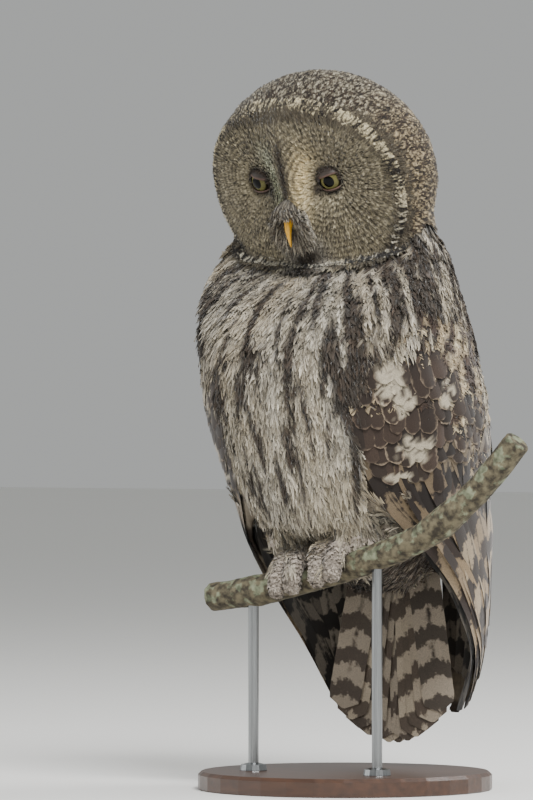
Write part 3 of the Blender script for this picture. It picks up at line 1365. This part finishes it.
def make_lids():
    points, shares, quads = [], [], []
    for side in SIDES.values():
        for shape in LIDS.values():
            start = len(points)
            for point, share in lid_points(side, *shape):
                points.append(point)
                shares.append(share)
            for column in range(LID_COLUMNS):
                for row in range(LID_ROWS):
                    a = start + column * (LID_ROWS + 1) + row
                    quads.append((a, a + 1, a + LID_ROWS + 2, a + LID_ROWS + 1))
    mesh = bpy.data.meshes.new("eyelids")
    mesh.from_pydata([tuple(point) for point in out_of_head(np.array(points))], [], quads)
    mesh.attributes.new("lid_edge", "FLOAT", "POINT").data.foreach_set("value", shares)
    mesh.shade_smooth()
    mesh.materials.append(lid_material())
    lids = new_object("eyelids", mesh)
    thick = lids.modifiers.new("thickness", "SOLIDIFY")
    thick.thickness = LID_THICK
    thick.offset = 0
    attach(settle(lids), "root")
    print("eyelids", len(SIDES) * len(LIDS))


make_lids()

# %% [markdown]
# Small feathers also clothe the eyelids and arch over the root of the bill,
# so that only its lower half shows. They don't lie on the form, so their spines are written as curves.

# %% Lid feathers and moustache
LID_FEATHERS = 900
LID_FEATHER_LIFT = 1.2 * MM
MOUSTACHE_FEATHERS = 1000
MOUSTACHE_DEPTH = -49.0
WISP_COMB = comb_template(5, 0.45, 0.3)


def lay_lid_feathers(coat):
    for side in SIDES.values():
        gaze, across, up = (np.array(axis) for axis in eye_axes(side))
        turn = rng.uniform(0, 2 * math.pi, LID_FEATHERS)
        above = np.sin(turn) > 0
        upper, lower = rng.uniform(0.70, LID_REACH, LID_FEATHERS), rng.uniform(0.90, LID_REACH, LID_FEATHERS)
        start = np.where(above, upper, lower)
        radial = across * np.cos(turn)[:, None] + up * np.sin(turn)[:, None]
        centre = EYE_PLACE * np.array([side, 1, 1])
        places, normals = [], []
        for k in range(4):
            polar = (start + 0.10 * k)[:, None]
            ray = gaze * np.cos(polar) + radial * np.sin(polar)
            places.append(out_of_head(centre + ray * (EYE_RADIUS + LID_FEATHER_LIFT)))
            normals.append(ray @ HEAD_TURN.T)
        places, normals = np.stack(places, axis=1), np.stack(normals, axis=1)
        grey = soft_step(start, 1.0, LID_REACH)[:, None] * 0.6
        pale = tones(["#2E261F", "#4A3D33"], LID_FEATHERS) * (1 - grey)
        pale += tones(["#8A8070"], LID_FEATHERS) * grey
        looks = {"pale": pale, "dark": tones(["#17120E"], LID_FEATHERS),
                 "marks": marks(LID_FEATHERS, -0.5, 2.0, 0.0)}
        coat.lay(places, normals, np.full(LID_FEATHERS, 0.7 * MM), DISC_COMB, looks,
                 head_unwrap(places[:, 0]), lift=(-0.2, 1.0), ragged=0.2, bend=0.1)


def lay_moustache(coat):
    """Wisps rooted round the bill. Each spine is a curve from its root, by an elbow, to its tip, in mm."""
    count = MOUSTACHE_FEATHERS
    swing = rng.uniform(-3.1, 3.1, count)
    sine, rise, level = np.sin(swing), np.maximum(np.cos(swing), 0), np.zeros(count)
    ring = rng.uniform(0.75, 1.15, count)
    root = np.stack([8.0 * sine * ring, level + MOUSTACHE_DEPTH, -13 + 15 * np.cos(swing) * ring], axis=1)
    size = rng.uniform(0.65, 1.1, count)[:, None]
    elbow = root + np.stack([5 * sine, -8 - 9 * rise, level - 3], axis=1) * size
    tip = elbow + np.stack([6 * sine, level + 3, -13 + 7 * rise], axis=1) * size
    share = np.linspace(0, 1, 5)[None, :, None]
    path = root[:, None] * (1 - share) ** 2 + 2 * elbow[:, None] * share * (1 - share)
    path = path + tip[:, None] * share ** 2
    places = out_of_head(path * MM)
    normals = np.stack([0.5 * sine, level - 1, level + 0.4], axis=1) @ HEAD_TURN.T
    normals = np.repeat(normals[:, None] / np.linalg.norm(normals, axis=1)[:, None, None], 5, axis=1)
    dark = (rng.random(count) < 0.35)[:, None]
    pale = np.where(dark, tones(["#3A3128", "#5A5044"], count), tones(["#756D5D", "#A1998A"], count))
    looks = {"pale": pale, "dark": tones(["#2A231C"], count), "marks": marks(count, -0.5, 2.0, 0.0)}
    coat.lay(places, normals, np.full(count, 0.75 * MM), WISP_COMB, looks, head_unwrap(places[:, 0]),
             lift=(0, 0), camber=0, ragged=0.25, bend=0.08)


def lay_face_trim():
    coat = Coat("lid_and_moustache_feathers")
    lay_lid_feathers(coat)
    lay_moustache(coat)
    return coat.finish(PLUME)


lay_face_trim()

# %% [markdown]
# Bill and claws are horn, grown in smooth curves, with a soft polish and faint growth mottling.
# Their solids already have the right shape, so a copy of each is only rounded off by subdivision.

# %% Bill and claws
HORN_GRAIN, HORN_RELIEF, ROUNDING_LEVELS = 400.0, 0.1 * MM, 2


def refined(node, material):
    made = plain_copy(f"{node}_horn", [node])
    smooth = made.modifiers.new("round", "SUBSURF")
    smooth.levels = smooth.render_levels = ROUNDING_LEVELS
    settle(made)
    made.data.shade_smooth()
    made.data.materials.clear()
    made.data.materials.append(material)
    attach(made, "root")
    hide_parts(node)


def horn_material(name, low, high, roughness):
    return mottled_material(name, roughness, (low, high), HORN_GRAIN, 3.0, HORN_RELIEF, Coat_Weight=0.3,
                            Coat_Roughness=0.2)


BILL_HORN = horn_material("bill horn", "#BD8706", "#E6AE1A", 0.38)
CLAW_HORN = horn_material("claw horn", "#0E0D0C", "#2A2725", 0.3)
CLAWS = [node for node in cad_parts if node.startswith("claw_")]
for node in ("bill_upper", "bill_lower"):
    refined(node, BILL_HORN)
for node in CLAWS:
    refined(node, CLAW_HORN)
print("claws", len(CLAWS))

# %% [markdown]
# Stiff bristles grow from the sides of the bill and curve forward and down over its root.
# They repeat one small bent shape over a surface, which is work for Geometry Nodes:
# points are scattered on a hidden collar round the bill, and a bristle is placed on each.

# %% One bristle and the collar
BRISTLE_STEPS = 5
BRISTLE_VERTICES = 2 * (BRISTLE_STEPS + 1)
BRISTLE_BEND, BRISTLE_HALF_WIDTH, BRISTLE_TIP = 0.22, 0.022, 0.002
COLLAR_COLUMNS, COLLAR_ROWS = 16, 5
COLLAR_INNER, COLLAR_STEP = 4.5, 2.2


def bristle_shape():
    """One bristle of unit length along Z, bent towards X, as a narrow tapering strip."""
    points, faces = [], []
    for k in range(BRISTLE_STEPS + 1):
        share = k / BRISTLE_STEPS
        half = BRISTLE_HALF_WIDTH * (1 - share) ** 0.7 + BRISTLE_TIP
        points += [(BRISTLE_BEND * share ** 2, -half, share), (BRISTLE_BEND * share ** 2, half, share)]
        if k:
            faces.append((2 * k - 2, 2 * k - 1, 2 * k + 1, 2 * k))
    mesh = bpy.data.meshes.new("bristle")
    mesh.from_pydata(points, [], faces)
    return new_object("bristle", mesh)


def collar():
    """The surface the bristles grow from: round the top and sides of the bill's root, in mm."""
    points, lies, quads = [], [], []
    for j in range(COLLAR_COLUMNS + 1):
        swing = math.radians(-150 + 300 * j / COLLAR_COLUMNS)
        for k in range(COLLAR_ROWS + 1):
            out = COLLAR_INNER + COLLAR_STEP * k
            low = -14 - 16 * (1 - math.cos(swing)) / 2 + 3.5 * math.cos(swing) * k / COLLAR_ROWS
            points.append((out * math.sin(swing), -50 + 1.1 * k, low + out * 0.55 * math.cos(swing)))
            lies.append((0.55 * math.sin(swing), -0.40, -0.72 - 0.3 * math.cos(swing)))
            if j and k:
                a = (j - 1) * (COLLAR_ROWS + 1) + k - 1
                quads.append((a, a + 1, a + COLLAR_ROWS + 2, a + COLLAR_ROWS + 1))
    mesh = bpy.data.meshes.new("bill_bristles")
    mesh.from_pydata([tuple(point) for point in out_of_head(np.array(points) * MM)], [], quads)
    turned = np.array(lies) @ HEAD_TURN.T
    mesh.attributes.new("lie", "FLOAT_VECTOR", "POINT").data.foreach_set("vector", turned.ravel())
    return new_object("bill_bristles", mesh)


print("a bristle has", 2 * BRISTLE_STEPS, "triangles")

# %% [markdown]
# The tree scatters points on the collar, turns a bristle along the stored direction with some stray,
# and sizes it. Realize Instances makes real mesh of them, because instances would be lost later.
# The modifier's inputs are set by their identifiers, and its result is kept as a plain mesh.

# %% Bristles round the bill
BRISTLE_INPUTS = {"Density": 1.9e6, "Longest": 15 * MM, "Seed": 7}
STRAY_AIM = 0.35


def bristle_tree(material):
    tree = bpy.data.node_groups.new("bristles over a surface", "GeometryNodeTree")
    for name, kind in (("Geometry", "Geometry"), ("Bristle", "Object"), ("Density", "Float"),
                       ("Longest", "Float"), ("Seed", "Int")):
        tree.interface.new_socket(name, in_out="INPUT", socket_type=f"NodeSocket{kind}")
    tree.interface.new_socket("Geometry", in_out="OUTPUT", socket_type="NodeSocketGeometry")
    given = add(tree, "NodeGroupInput").outputs
    spots = add(tree, "GeometryNodeDistributePointsOnFaces",
                inputs={"Mesh": given["Geometry"], "Density": given["Density"], "Seed": given["Seed"]})
    lie = add(tree, "GeometryNodeInputNamedAttribute", {"data_type": "FLOAT_VECTOR"}, {"Name": "lie"})
    stray = add(tree, "FunctionNodeRandomValue", {"data_type": "FLOAT_VECTOR"},
                {0: (-STRAY_AIM,) * 3, 1: (STRAY_AIM,) * 3, "Seed": given["Seed"]})
    aim = add(tree, "ShaderNodeVectorMath", {"operation": "ADD"},
              {0: lie.outputs["Attribute"], 1: stray.outputs["Value"]})
    turned = add(tree, "FunctionNodeAlignRotationToVector", {"axis": "Z"}, {"Vector": aim.outputs[0]})
    shortest = add(tree, "ShaderNodeMath", {"operation": "MULTIPLY"}, {0: given["Longest"], 1: 0.5})
    size = add(tree, "FunctionNodeRandomValue", {"data_type": "FLOAT"},
               {2: shortest.outputs[0], 3: given["Longest"], "Seed": given["Seed"]})
    shape_info = add(tree, "GeometryNodeObjectInfo", inputs={"Object": given["Bristle"]})
    placed = add(tree, "GeometryNodeInstanceOnPoints", inputs={
        "Points": spots.outputs["Points"], "Instance": shape_info.outputs["Geometry"],
        "Rotation": turned.outputs[0], "Scale": size.outputs[1]})
    real = add(tree, "GeometryNodeRealizeInstances", inputs={"Geometry": placed.outputs[0]})
    finish = add(tree, "GeometryNodeSetMaterial", inputs={"Geometry": real.outputs[0], "Material": material})
    result = add(tree, "NodeGroupOutput")
    tree.links.new(finish.outputs[0], result.inputs[0])
    return tree


def bristle_material():
    """Bare shafts without barbs: smoother than the feathers, from brown to a pale horn colour."""
    material, tree, shader = new_material("bristle keratin", 0.5)
    place = add(tree, "ShaderNodeTexCoord").outputs["Object"]
    tone = add(tree, "ShaderNodeTexNoise", inputs={"Vector": place, "Scale": 500.0})
    share = add(tree, *SMOOTH, {"Value": tone, "From Min": 0.35, "From Max": 0.62})
    give(tree, shader, {"Base Color": add(tree, *BLEND, {0: share, 6: rgba("#2A231C"), 7: rgba("#B5AD9C")})})
    return material


def make_bristles():
    shape, made = bristle_shape(), collar()
    group = bristle_tree(bristle_material())
    grown = made.modifiers.new("bristles", "NODES")
    grown.node_group = group
    values = {"Bristle": shape, **BRISTLE_INPUTS}
    for item in group.interface.items_tree:
        if item.in_out == "INPUT" and item.name in values:
            grown[item.identifier] = values[item.name]
    settle(made)
    bpy.data.objects.remove(shape)
    points = points_of(made.data)
    total = len(points) // BRISTLE_VERTICES
    root = points[::BRISTLE_VERTICES].repeat(BRISTLE_VERTICES, axis=0)
    spot = head_unwrap(root) + np.tile(np.linspace(0, TUFT_PATCH, BRISTLE_VERTICES), total)[:, None]
    corner = np.empty(len(made.data.loops), int)
    made.data.loops.foreach_get("vertex_index", corner)
    made.data.uv_layers.new(name="OFBake").data.foreach_set("uv", spot[corner].astype(np.float32).ravel())
    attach(made, "root")
    print("bristles", total)


make_bristles()

# %% [markdown]
# Where feathers part, the down under them shows, and it carries the colours of the feathers over it.
# So the functions that painted the coat are asked again for each point of the form,
# and their answer is written to the same point of the skin, where the skin's material reads it.

# %% The coat's markings on the skin
FLIGHT_BAR = 50 * MM
CROWN_LOW = 460 * MM
WING_TURNS = (40, 160)


def mark_skin():
    points = points_of(form.data)
    local = into_head(points)
    turn = np.degrees(np.abs(body_angle(points)))
    head = points[:, 2] > CROWN_LOW
    face = head & on_face(local)
    wing = ~head & (turn > WING_TURNS[0]) & (turn < WING_TURNS[1])
    blades = wing & (points[:, 2] < COVERT_LOW)
    marking = paint_body(points)
    marking[head] = paint_crown(points[head])
    marking[face] = paint_disc(points[face])
    marking[wing] = paint_shoulder(points[wing]) * (1 - cream_weight(points[wing]))
    marking[blades] = soft_step(np.sin(2 * math.pi * points[blades, 2] / FLIGHT_BAR), -0.25, 0.35)
    layer = skin.data.attributes.new("marking", "FLOAT", "POINT")
    layer.data.foreach_set("value", marking.astype(np.float32))
    print("skin marked dark on", round(float(marking.mean()), 2), "of its points")


mark_skin()

# %% [markdown]
# The perch is a living branch cut to length: smooth bark in olive grey, with more lichen on its upper side.
# Its solid is remeshed to an even skin and roughened a little, so that the outline isn't perfectly smooth.

# %% Perch
BARK_VOXEL, BARK_RELAX = 1.6 * MM, 6
KNOT_SCALE, KNOT_HEIGHT = 90, 0.5 * MM


def bark_material():
    """Rough and matt. Cracks 6 mm apart run through it, and lichen spreads in patches about 10 mm wide."""
    material, tree, shader = new_material("lichened bark", 0.88)
    place = add(tree, "ShaderNodeTexCoord").outputs["Object"]
    fine = add(tree, "ShaderNodeTexNoise", inputs={"Vector": place, "Scale": 160.0, "Detail": 6.0})
    patches = add(tree, "ShaderNodeTexNoise", inputs={"Vector": place, "Scale": 95.0, "Detail": 6.0})
    facing = add(tree, "ShaderNodeNewGeometry").outputs["Normal"]
    upward = add(tree, "ShaderNodeSeparateXYZ", inputs={0: facing}).outputs[2]
    under = add(tree, *SMOOTH, {"Value": upward, "From Min": -0.7, "From Max": 0.4,
                                "To Min": 1.0, "To Max": 0.0})
    spread = add(tree, *MINUS, {0: patches, 1: add(tree, *TIMES, {0: under, 1: 0.12})})
    grain = add(tree, *SMOOTH, {"Value": fine, "From Min": 0.3, "From Max": 0.7})
    bark = add(tree, *BLEND, {0: grain, 6: rgba("#2B251B"), 7: rgba("#6E6650")})
    lichen = add(tree, *BLEND, {0: grain, 6: rgba("#4F5340"), 7: rgba("#868A70")})
    cover = add(tree, *SMOOTH, {"Value": spread, "From Min": 0.47, "From Max": 0.55})
    bump = add(tree, "ShaderNodeBump", inputs={"Height": fine, "Distance": 1.2 * MM})
    give(tree, shader, {"Base Color": add(tree, *BLEND, {0: cover, 6: bark, 7: lichen}), "Normal": bump})
    return material


def make_perch():
    made = plain_copy("bark_perch", ["perch"])
    remesh = made.modifiers.new("even", "REMESH")
    remesh.mode = "VOXEL"
    remesh.voxel_size = BARK_VOXEL
    relax = made.modifiers.new("relax", "SMOOTH")
    relax.iterations = BARK_RELAX
    settle(made)
    places = points_of(made.data)
    normals = points_of(made.data, "vertices", "normal")
    rough = np.array([noise.fractal(Vector(place) * KNOT_SCALE, 1.0, 2.0, 3) for place in places])
    places += normals * (rough * KNOT_HEIGHT)[:, None]
    made.data.vertices.foreach_set("co", places.ravel())
    made.data.update()
    made.data.shade_smooth()
    made.data.materials.append(bark_material())
    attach(made, "root")
    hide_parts("perch")
    print("bark faces", len(made.data.polygons))


make_perch()

# %% [markdown]
# The stand is plain and quiet: a turned base of dark stained walnut, whose grain runs one way under a
# thin satin lacquer, and two steel rods, brushed along their length, which gives them soft streaks.
# Their solids are right as they are, so only the materials in their slots are set.

# %% Stand
WALNUT = mottled_material("stained walnut", 0.42, ("#1E120C", "#5A3A26"), 3.0, 6.0, 0.3 * MM, (6, 60, 60),
                          Coat_Weight=0.35, Coat_Roughness=0.25)
STEEL = mottled_material("brushed steel", 0.32, ("#7F8182", "#A9ABAC"), 1.0, stretch=(900, 900, 20),
                         Metallic=1.0)
for node, finish in (("stand_base", WALNUT), ("stand_rod_left", STEEL), ("stand_rod_right", STEEL)):
    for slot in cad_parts[node].material_slots:
        slot.material = finish
    print(node, "finished in", finish.name)

# %% [markdown]
# The form was only a guide for laying feathers, so it is removed. The two boxes show whether the
# feathers kept to the outline: the finished model may pass the solids' box by only a little.

# %% Leave the form out and finish
bpy.data.objects.remove(form)
